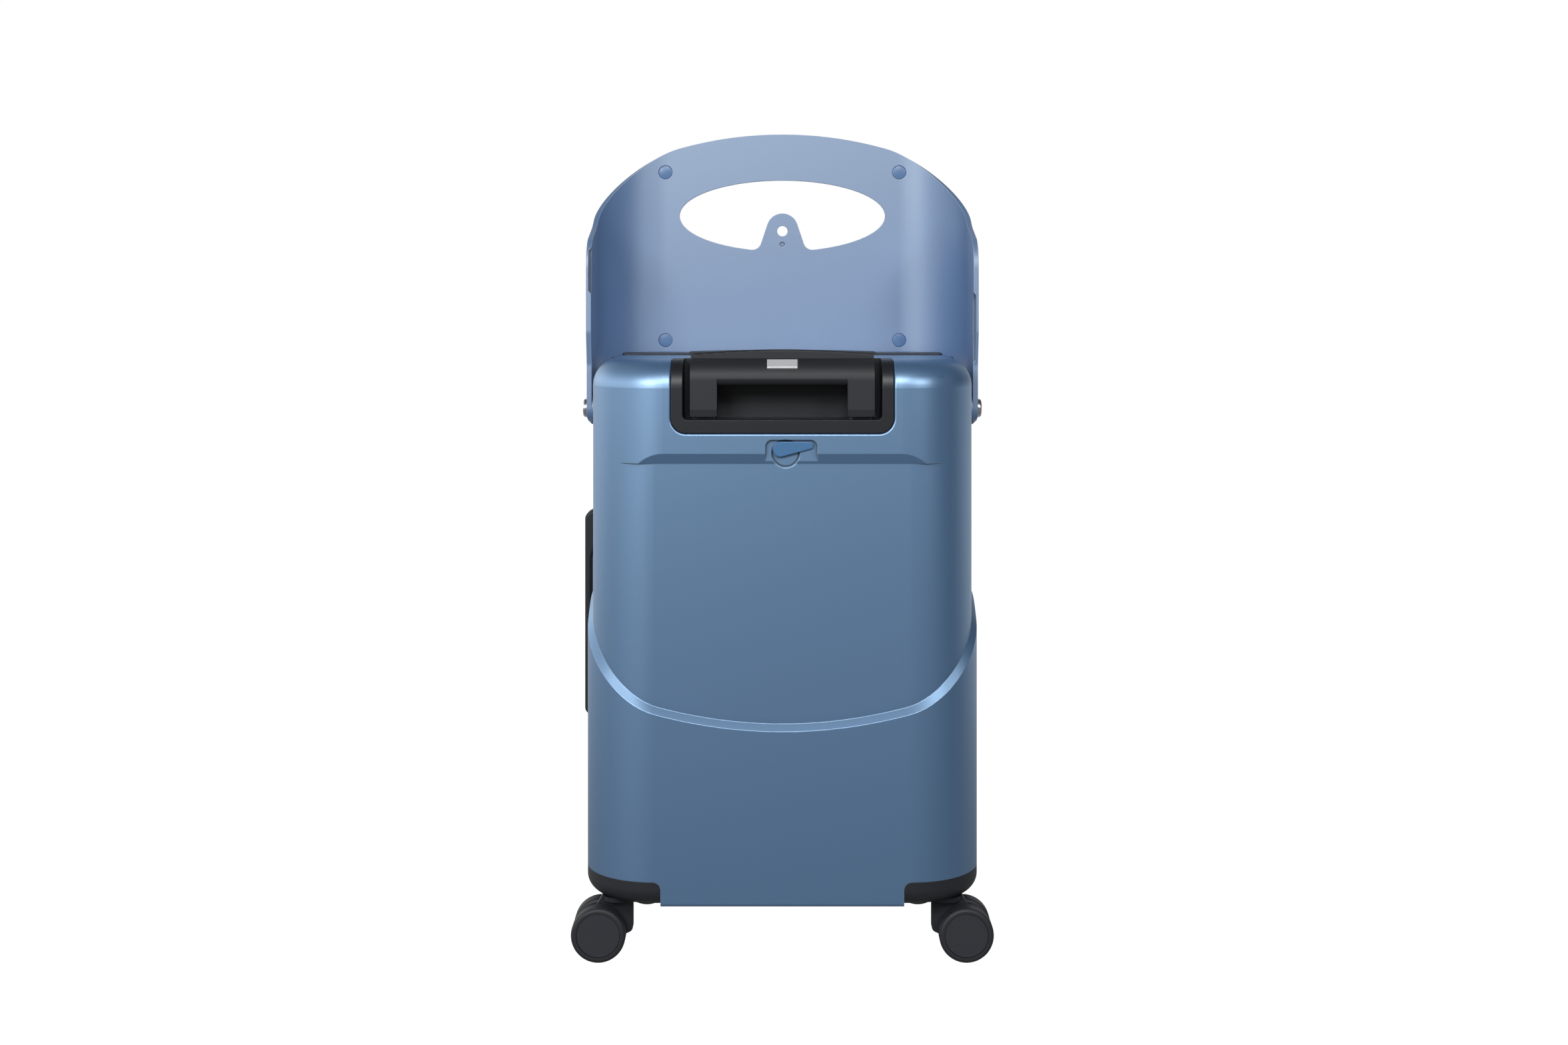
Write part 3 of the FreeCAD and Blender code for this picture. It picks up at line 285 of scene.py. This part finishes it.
def pearl(tree, colour, flake_colour, normal, roughness, share):
    """Plastic with a share of paler mica flakes, up to the material's output."""
    painted_shade_reach = 9
    painted_shade_share = 0.45
    plastic_ior = 1.58
    # Painted shade: both the plastic's and the flakes' colours darken where walls close in.
    plastic_colour = painted_crease_shade(tree, colour, painted_shade_reach, painted_shade_share)
    mica_colour = painted_crease_shade(tree, linear(flake_colour)[:3], painted_shade_reach, painted_shade_share)
    plastic = add(tree, "ShaderNodeBsdfPrincipled", {
        "Base Color": plastic_colour, "Roughness": roughness, "IOR": plastic_ior, "Normal": normal})
    mica = add(tree, "ShaderNodeBsdfPrincipled", {
        "Base Color": mica_colour, "Metallic": 1.0, "Roughness": roughness, "Normal": normal})
    both = add(tree, "ShaderNodeMixShader", {0: share, 1: plastic.outputs[0], 2: mica.outputs[0]})
    add(tree, "ShaderNodeOutputMaterial", {"Surface": both.outputs[0]})


print("edge colour: normals", no_painted_highlight, "to", full_painted_highlight, "along the surface")

# %% Pearl polycarbonate of the shells
finishes = {}
flake_size = 0.9
flake_relief = 0.03
material, tree = empty_finish("pearl_polycarbonate")
place = add(tree, "ShaderNodeTexCoord", {})
flake = add(tree, "ShaderNodeTexNoise", {
    "Vector": place.outputs["Object"], "Scale": per_metre(flake_size), "Detail": 2.0})
shade = add(tree, "ShaderNodeValToRGB", {"Fac": flake.outputs["Fac"]})
shade.color_ramp.elements[0].position = 0.3
shade.color_ramp.elements[0].color = linear("#4b74a3")
shade.color_ramp.elements[1].position = 0.7
shade.color_ramp.elements[1].color = linear("#517aa9")
# Painted highlight: the pale #bcd3e8 along the edges stands in for light on them.
rounded, colour = painted_edge_highlights(tree, 0.9, shade.outputs[0], "#bcd3e8")
glitter = add(tree, "ShaderNodeBump", {
    "Height": flake.outputs["Fac"], "Normal": rounded, "Strength": 0.25,
    "Distance": flake_relief * mm})
pearl(tree, colour, "#97b7d6", glitter.outputs[0], 0.4, 0.6)
finishes["blue_shell"] = material
print(material.name, len(tree.nodes), "nodes")

# %% [markdown]
# ## Moulded ABS
# The guard panel is injection-moulded ABS with fewer, paler flakes. Its sheen is broader than the
# shells'; the melt leaves broad, faint flow marks in the gloss, so its roughness wanders slowly
# over a few centimetres. It is mixed in the same way as the shells, so that the two blues stay
# alike under any light.

# %% Moulded ABS of the guard panel
flow_size = 60
material, tree = empty_finish("blue_moulded_abs")
place = add(tree, "ShaderNodeTexCoord", {})
flow = add(tree, "ShaderNodeTexNoise", {
    "Vector": place.outputs["Object"], "Scale": per_metre(flow_size), "Detail": 3.0})
gloss = add(tree, "ShaderNodeMapRange", {
    "Value": flow.outputs["Fac"], "To Min": 0.48, "To Max": 0.54})
shade = add(tree, "ShaderNodeValToRGB", {"Fac": flow.outputs["Fac"]})
shade.color_ramp.elements[0].color = linear("#5a7cab")
shade.color_ramp.elements[1].color = linear("#6284b2")
# Painted highlight: the pale #b4c6dc along the edges stands in for light on them.
rounded, colour = painted_edge_highlights(tree, 0.8, shade.outputs[0], "#b4c6dc")
pearl(tree, colour, "#c9d3da", rounded, gloss.outputs[0], 0.24)
finishes["blue_panel"] = material
print(material.name, len(tree.nodes), "nodes")

# %% [markdown]
# ## The other plastics and metals
# The rest are moulded, turned or plated parts whose surface is one fine grain. A single function
# builds them from the real values: two neighbouring colours, the size and depth of the grain, the
# roughness, and how round the edges are. The grain of a real mould measures 0.1 to 0.3 mm; it is
# drawn as coarse as it needs to show.

# %% A finish with a fine grain
round_edge = 0.5


def grained(name, dark, light, grain_size, grain_deep, roughness, metallic=0.0):
    """A finish with a fine surface grain in its colour and its relief, and softened edges."""
    material, tree = empty_finish(name)
    place = add(tree, "ShaderNodeTexCoord", {})
    edge = add(tree, "ShaderNodeBevel", {"samples": 4, "Radius": round_edge * mm})
    grain = add(tree, "ShaderNodeTexNoise", {
        "Vector": place.outputs["Object"], "Scale": per_metre(grain_size), "Detail": 2.0})
    shade = add(tree, "ShaderNodeValToRGB", {"Fac": grain.outputs["Fac"]})
    shade.color_ramp.elements[0].position = 0.3
    shade.color_ramp.elements[0].color = linear(dark)
    shade.color_ramp.elements[1].position = 0.7
    shade.color_ramp.elements[1].color = linear(light)
    relief = add(tree, "ShaderNodeBump", {
        "Height": grain.outputs["Fac"], "Normal": edge.outputs[0], "Strength": 0.5,
        "Distance": grain_deep * mm})
    skin = add(tree, "ShaderNodeBsdfPrincipled", {
        "Base Color": shade.outputs[0], "Metallic": metallic, "Roughness": roughness, "IOR": 1.5,
        "Normal": relief.outputs[0]})
    add(tree, "ShaderNodeOutputMaterial", {"Surface": skin.outputs[0]})
    return material


# %% Plastics
# Moulded lever in a stronger blue, with a soft gloss.
finishes["blue_lever"] = grained("blue_lever_abs", "#4a76a3", "#507daa", 1.2, 0.01, 0.34)
# Housings, forks and plates: black ABS from a spark-eroded mould, speckled and nearly matt.
finishes["black_plastic"] = grained("black_grained_abs", "#202328", "#292c32", 0.7, 0.06, 0.46)
# The handle cup is the same plastic from a smoother mould; its darker colour is painted shade for the
# recess.
finishes["black_cup"] = grained("black_smooth_abs_painted_shade", "#171a1f", "#1f2227", 0.7, 0.03, 0.4)
# Handles: black polypropylene with a finer grain and a broader, softer sheen.
finishes["black_grip"] = grained("black_grip_polypropylene", "#181b20", "#202328", 0.5, 0.04, 0.55)
# Release button: ABS with silver paint, metal flakes in a clear binder.
finishes["silver_button"] = grained(
    "silver_painted_abs", "#d6d9dc", "#dee1e4", 0.8, 0.01, 0.34, metallic=0.4)
# Bumpers: soft PVC, smooth, with a soft gloss.
finishes["bumper_rubber"] = grained("blue_soft_pvc", "#6182ae", "#6888b4", 1.0, 0.01, 0.32)
# Wheel hubs of nylon and tyres of polyurethane: both black, the tyre more matt.
finishes["wheel_plastic"] = grained("black_hub_nylon", "#313238", "#393a41", 0.6, 0.03, 0.46)
finishes["wheel_tyre"] = grained("black_polyurethane", "#26272c", "#2d2e33", 0.7, 0.03, 0.55)
# Pivot bushes: white acetal, waxy.
finishes["acetal"] = grained("white_acetal", "#d5d5d0", "#dcdcd7", 0.8, 0.01, 0.35)
# Zip coil: bent nylon thread, a little glossy.
finishes["zip_coil"] = grained("nylon_coil", "#1b1d21", "#26282d", 0.5, 0.02, 0.4)
print("finishes with the plastics:", len(finishes))

# %% Metals
# Handle tubes: drawn aluminium, anodised to a satin grey.
finishes["tube_aluminium"] = grained(
    "anodised_aluminium", "#b0b3b7", "#b8bbbf", 0.5, 0.01, 0.35, metallic=1.0)
# Bolt heads: polished steel that mirrors the studio, with the softness that wear leaves.
finishes["polished_steel"] = grained(
    "polished_steel", "#d4d6da", "#dcdee1", 2.0, 0.002, 0.28, metallic=1.0)
# Axles, stems and pins: turned steel with a fine tool grain.
finishes["bright_steel"] = grained(
    "turned_steel", "#a5a7aa", "#adafb2", 0.5, 0.02, 0.3, metallic=1.0)
# Zip sliders and pulls: cast zinc, plated dark.
finishes["zip_metal"] = grained(
    "dark_plated_zinc", "#36383e", "#3e4046", 0.8, 0.01, 0.3, metallic=0.9)
print("finishes with the metals:", len(finishes))

# %% [markdown]
# ## Woven polyester
# Zip tape and the hinge strip are tightly woven polyester. Two crossed waves along the piece's own
# UV map, which runs in metres across and along the cloth, make the ribs of the weave; on Object
# coordinates the ribs would run askew round the corners. The thread is 0.4 mm on the real tape and
# is drawn at 1.2 mm so that it shows.

# %% Woven polyester of tape and hinge strip
material, tree = empty_finish("woven_polyester")
cloth_run = add(tree, "ShaderNodeTexCoord", {})
thread = 1.2
thread_relief = 0.15
# A Wave texture repeats every 2 pi / 20 of its scaled length.
wave_scale = per_metre(thread) * 2 * math.pi / 20
weft = add(tree, "ShaderNodeTexWave", {
    "Vector": cloth_run.outputs["UV"], "bands_direction": "X", "Scale": wave_scale})
warp = add(tree, "ShaderNodeTexWave", {
    "Vector": cloth_run.outputs["UV"], "bands_direction": "Y", "Scale": wave_scale})
weave = add(tree, "ShaderNodeMath", {
    "operation": "MULTIPLY", 0: weft.outputs["Fac"], 1: warp.outputs["Fac"]})
shade = add(tree, "ShaderNodeValToRGB", {"Fac": weave.outputs[0]})
shade.color_ramp.elements[0].color = linear("#14161a")
shade.color_ramp.elements[1].color = linear("#34373e")
relief = add(tree, "ShaderNodeBump", {
    "Height": weave.outputs[0], "Strength": 0.6, "Distance": thread_relief * mm})
skin = add(tree, "ShaderNodeBsdfPrincipled", {
    "Base Color": shade.outputs[0], "Roughness": 0.85, "IOR": 1.5, "Sheen Weight": 0.3,
    "Normal": relief.outputs[0]})
add(tree, "ShaderNodeOutputMaterial", {"Surface": skin.outputs[0]})
finishes["zip_cloth"] = material
print(material.name, "thread", thread, "mm")

# %% [markdown]
# ## Finishes onto the solids
# The record names a slot of finish for every solid, so dressing them is one loop. Only the handle
# cup leaves its slot: it gets a smoother copy of the same black plastic, whose darker colour is
# painted shade for the recess.

# %% Finishes onto the solids
for row in frame["record"]["subparts"]:
    solid = frame["nodes"][row["node"]].data
    solid.materials.clear()
    # The cup's darker copy of the black plastic is painted shade.
    smoother_and_shaded = row["node"] == "handle_cup"
    solid.materials.append(finishes["black_cup" if smoother_and_shaded else row["material_slot"]])

# %% [markdown]
# ## The zip's path
# The lid is on the far side of the case. The zip's tapes lie on the wall all round it: across the
# far face above and below the lid, round the two far corners, and down the two sides. The coils
# leave out the right side, where the lid hangs on its hinge. The zip is easiest to draw flat, as if
# the wall were unrolled, and then to bend round the wall. Across the flat drawing runs the distance
# along the wall, up it runs the height. Past the point where the lid's round begins, the distance
# is counted along Y, because the lid's outline is a true circle seen from the side.

# %% Wall sizes and the bend
shell_high = Vector(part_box("lid_shell")[1])
tape_low, tape_high = (Vector(c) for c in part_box("zip_tape_case"))
wall_half_x = shell_high.x
wall_far = shell_high.y
wall_corner = 58 * mm
lid_round = 30 * mm
tape_reach = 12 * mm
zip_part = 0.3 * mm
side_turn = math.radians(89.9)
tape_inset = wall_far - tape_high.y
corner_x = wall_half_x - wall_corner
corner_y = wall_far - wall_corner
line_low = tape_low.z + tape_reach
line_high = tape_high.z - tape_reach
line_y = tape_low.y + tape_reach
round_y = line_y + lid_round
round_run = corner_x + wall_corner * math.acos((round_y - corner_y) / wall_corner)
line_run = round_run + lid_round


def on_wall(run, z, inset):
    """The wall's point at a run from the middle of the far face, a height and a depth."""
    way = abs(run)
    if way <= corner_x:
        x, y = way, wall_far - inset
    else:
        turn = (way - corner_x) / wall_corner
        if way > round_run:
            turn = math.acos(min(1, max(0, (round_y - (way - round_run) - corner_y) / wall_corner)))
        x = corner_x + (wall_corner - inset) * math.sin(turn)
        y = corner_y + (wall_corner - inset) * math.cos(turn)
        if turn > side_turn:
            y = min(y, round_y - (way - round_run))
    return Vector((math.copysign(x, run), y, z))


print("zip line: half run", round(line_run / mm, 1), "mm")
print("zip line: heights", round(line_low / mm), round(line_high / mm), "mm")

# %% [markdown]
# ## Zip tapes
# Each half of the zip is a woven tape sewn behind the edge of its shell. It could be swept along a
# curve, but a flat drawing keeps its true width and gives its cut length. The drawing starts as one
# face with rounded corners, whose long sides are cut finely because they will bend. Insets turn its
# rim into a band of several rows, the middle is dropped, and then every point is carried onto the
# wall. The UV map keeps the flat drawing in metres.

# %% Helpers for new pieces
tape_thick = 0.7 * mm


def finished(name, mesh, slot):
    """A mesh object from a bmesh, with the finish of one of the record's slots."""
    data = bpy.data.meshes.new(name)
    mesh.to_mesh(data)
    mesh.free()
    data.materials.append(finishes[slot])
    piece = bpy.data.objects.new(name, data)
    scene.collection.objects.link(piece)
    return piece


def flat_map(mesh):
    """A UV map that keeps the flat drawing in metres."""
    layer = mesh.loops.layers.uv.new("flat")
    for face in mesh.faces:
        for corner in face.loops:
            corner[layer].uv = corner.vert.co.xy


def cloth_wall(piece):
    """The thickness of the cloth, half to each side of the drawn surface."""
    thickness = piece.modifiers.new("cloth", "SOLIDIFY")
    thickness.thickness = tape_thick
    thickness.offset = 0


print("cloth", round(tape_thick / mm, 2), "mm thick")

# %% Zip tapes
tape_rows = 3
corner_steps = 10
side_cuts = 70
shortest_side = 5 * lid_round


def zip_tape(name, outside, node, body):
    """A band of tape whose outer rim lies this far outside the zip's line, on its body."""
    band = bmesh.new()
    bmesh.ops.create_grid(band, x_segments=1, y_segments=1, size=1)
    middle = (line_high + line_low) / 2
    half = (line_high - line_low) / 2 + outside
    bmesh.ops.scale(band, vec=(line_run + outside, half, 1), verts=band.verts)
    bmesh.ops.bevel(band, geom=band.verts[:], affect="VERTICES", offset=lid_round + outside,
                    segments=corner_steps, profile=0.5, material=-1)
    long_sides = [e for e in band.edges if e.calc_length() > shortest_side]
    bmesh.ops.subdivide_edges(band, edges=long_sides, cuts=side_cuts)
    wide = tape_reach - zip_part
    for _ in range(tape_rows):
        core = max(band.faces, key=lambda face: face.calc_area())
        bmesh.ops.inset_region(band, faces=[core], thickness=wide / tape_rows, use_boundary=True,
                               use_even_offset=True)
    core = max(band.faces, key=lambda face: face.calc_area())
    area = sum(face.calc_area() for face in band.faces) - core.calc_area()
    bmesh.ops.delete(band, geom=[core], context="FACES")
    flat_map(band)
    for vert in band.verts:
        vert.co = on_wall(vert.co.x, middle + vert.co.y, tape_inset)
    bmesh.ops.recalc_face_normals(band, faces=band.faces)
    piece = finished(name, band, "zip_cloth")
    cloth_wall(piece)
    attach(piece, body)
    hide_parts(node)
    print(name, "flat", round(wide / mm, 1), "x", round(area / wide / mm), "mm")


zip_tape("case_zip_tape", tape_reach, "zip_tape_case", "case")
zip_tape("lid_zip_tape", -zip_part, "zip_tape_lid", "lid")

# %% [markdown]
# ## Zip coils
# The teeth are two coils of nylon thread, one sewn to each tape, whose turns lie between each
# other. From outside each turn shows as a short bead across the zip. A swept helix would need far
# more faces for the same look, so one bead with six sides is repeated along the line, turned to
# follow it; the lid's beads stand half a step on, so the halves mesh.

# %% The coils' line
coil_step = 2.4 * mm
coil_high = Vector(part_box("zip_chain_case")[1])
coil_end = coil_high.x


def zip_line(shift):
    """Points along the zip's line, a step apart, as (run, height, heading)."""
    straight = line_high - line_low - 2 * lid_round
    bend = lid_round * math.pi / 2
    across = line_run - lid_round
    end_run = corner_x + wall_corner * math.asin(min(1, (coil_end - corner_x) / wall_corner))
    total = 2 * (end_run + across + bend) + straight
    count = int(total / coil_step)
    for i in range(count):
        gone = i * coil_step + shift
        mirror = gone > total / 2
        gone = total - gone if mirror else gone
        if gone < end_run + across:
            run, up, heading = end_run - gone, 0, math.pi
        elif gone < end_run + across + bend:
            turn = (gone - end_run - across) / lid_round
            run = -across - lid_round * math.sin(turn)
            up = lid_round * (1 - math.cos(turn))
            heading = math.pi - turn
        else:
            run, up, heading = -line_run, lid_round + gone - end_run - across - bend, math.pi / 2
        z = line_high - up if mirror else line_low + up
        yield run, z, -heading if mirror else heading


print("beads on each coil:", len(list(zip_line(0))))

# %% Zip coils
bead_r = 0.75 * mm
bead_end_r = 0.9 * bead_r
bead_sides = 6
coil_inset = wall_far - coil_high.y + bead_r


def zip_coil(name, side, shift, node, body):
    """Beads on one side of the zip's line, bent onto the wall."""
    wide = coil_high.z - line_high - zip_part
    coil = bmesh.new()
    for run, z, heading in zip_line(shift):
        bead = bmesh.ops.create_cone(coil, cap_ends=True, segments=bead_sides, radius1=bead_r,
                                     radius2=bead_end_r, depth=wide)["verts"]
        lie = Matrix.Rotation(math.pi / 2, 3, "X")
        bmesh.ops.rotate(coil, verts=bead, cent=(0, 0, 0), matrix=lie)
        bmesh.ops.translate(coil, verts=bead, vec=(0, side * (zip_part + wide / 2), 0))
        bmesh.ops.rotate(coil, verts=bead, cent=(0, 0, 0), matrix=Matrix.Rotation(heading, 3, "Z"))
        bmesh.ops.translate(coil, verts=bead, vec=(run, z, 0))
    for vert in coil.verts:
        vert.co = on_wall(vert.co.x, vert.co.y, coil_inset - vert.co.z)
    bmesh.ops.recalc_face_normals(coil, faces=coil.faces)
    print(name, len(coil.faces), "faces")
    piece = finished(name, coil, "zip_coil")
    for face in piece.data.polygons:
        face.use_smooth = len(face.vertices) == 4
    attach(piece, body)
    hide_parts(node)


zip_coil("case_zip_coil", 1, 0, "zip_chain_case", "case")
zip_coil("lid_zip_coil", -1, coil_step / 2, "zip_chain_lid", "lid")

# %% [markdown]
# ## Hinge strip
# On the camera's right the lid hangs on a strip of the same cloth, sewn inside both shells. A stiff
# strip would tear away from one of them when the lid opens. This one is cut into many rows and laid
# round the wall's corner; it is attached to neither shell.

# %% Hinge strip
strip_low, strip_high = (Vector(c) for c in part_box("lid_hinge_strip"))
strip_wide = strip_high.y - strip_low.y
strip_long = strip_high.z - strip_low.z
rows_across = 28
rows_along = 16
cloth = bmesh.new()
bmesh.ops.create_grid(cloth, x_segments=rows_across, y_segments=rows_along, size=0.5)
bmesh.ops.scale(cloth, vec=(strip_wide, strip_long, 1), verts=cloth.verts)
flat_map(cloth)
strip_inset = wall_half_x - strip_high.x + tape_thick / 2
strip_middle = (strip_low + strip_high) / 2
for vert in cloth.verts:
    y = strip_middle.y - vert.co.x
    turn = math.acos(min(1, max(0, (y - corner_y) / wall_corner)))
    x = corner_x + (wall_corner - strip_inset) * math.sin(turn)
    vert.co = (x, y, strip_middle.z + vert.co.y)
bmesh.ops.recalc_face_normals(cloth, faces=cloth.faces)
strip = finished("hinge_cloth", cloth, "zip_cloth")
cloth_wall(strip)
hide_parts("lid_hinge_strip")
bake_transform(strip)
print("hinge cloth", round(strip_wide / mm, 1), "x", round(strip_long / mm, 1), "mm")

# %% [markdown]
# ## Bumpers
# Four buttons of soft PVC are pressed into the panel's inner face. A flat disc would look printed
# on; each is a shallow dome with its rim sunk in the seat, so a light and a dark crescent stand on
# it. A profile of back, rim and arc is turned round its axis.

# %% Bumpers
bumper_low, bumper_high = (Vector(c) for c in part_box("panel_bumpers"))
bumper_r = 6.9 * mm
dome_rise = 0.7 * mm
arc_steps = 8
turn_steps = 32
weld = 0.01 * mm
domes = bmesh.new()
for x in (bumper_low.x + bumper_r, bumper_high.x - bumper_r):
    for z in (bumper_low.z + bumper_r, bumper_high.z - bumper_r):
        profile = [domes.verts.new((x + out, bumper_high.y, z)) for out in (0, bumper_r)]
        for i in range(arc_steps + 1):
            out = 1 - i / arc_steps
            deep = dome_rise * out ** 2
            profile.append(domes.verts.new((x + out * bumper_r, bumper_low.y + deep, z)))
        lines = [domes.edges.new(pair) for pair in zip(profile, profile[1:])]
        bmesh.ops.spin(domes, geom=profile + lines, cent=(x, 0, z), axis=(0, 1, 0),
                       angle=2 * math.pi, steps=turn_steps, use_merge=True)
bmesh.ops.remove_doubles(domes, verts=domes.verts, dist=weld)
bmesh.ops.recalc_face_normals(domes, faces=domes.faces)
print("bumpers:", len(domes.faces), "faces")
bumpers = finished("bumper_domes", domes, "bumper_rubber")
# The dome and the back are shaded smooth; the rim's edge stays crisp.
rim_tilt = 0.5
for face in bumpers.data.polygons:
    face.use_smooth = abs(face.normal.y) > rim_tilt
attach(bumpers, "guard")
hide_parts("panel_bumpers")
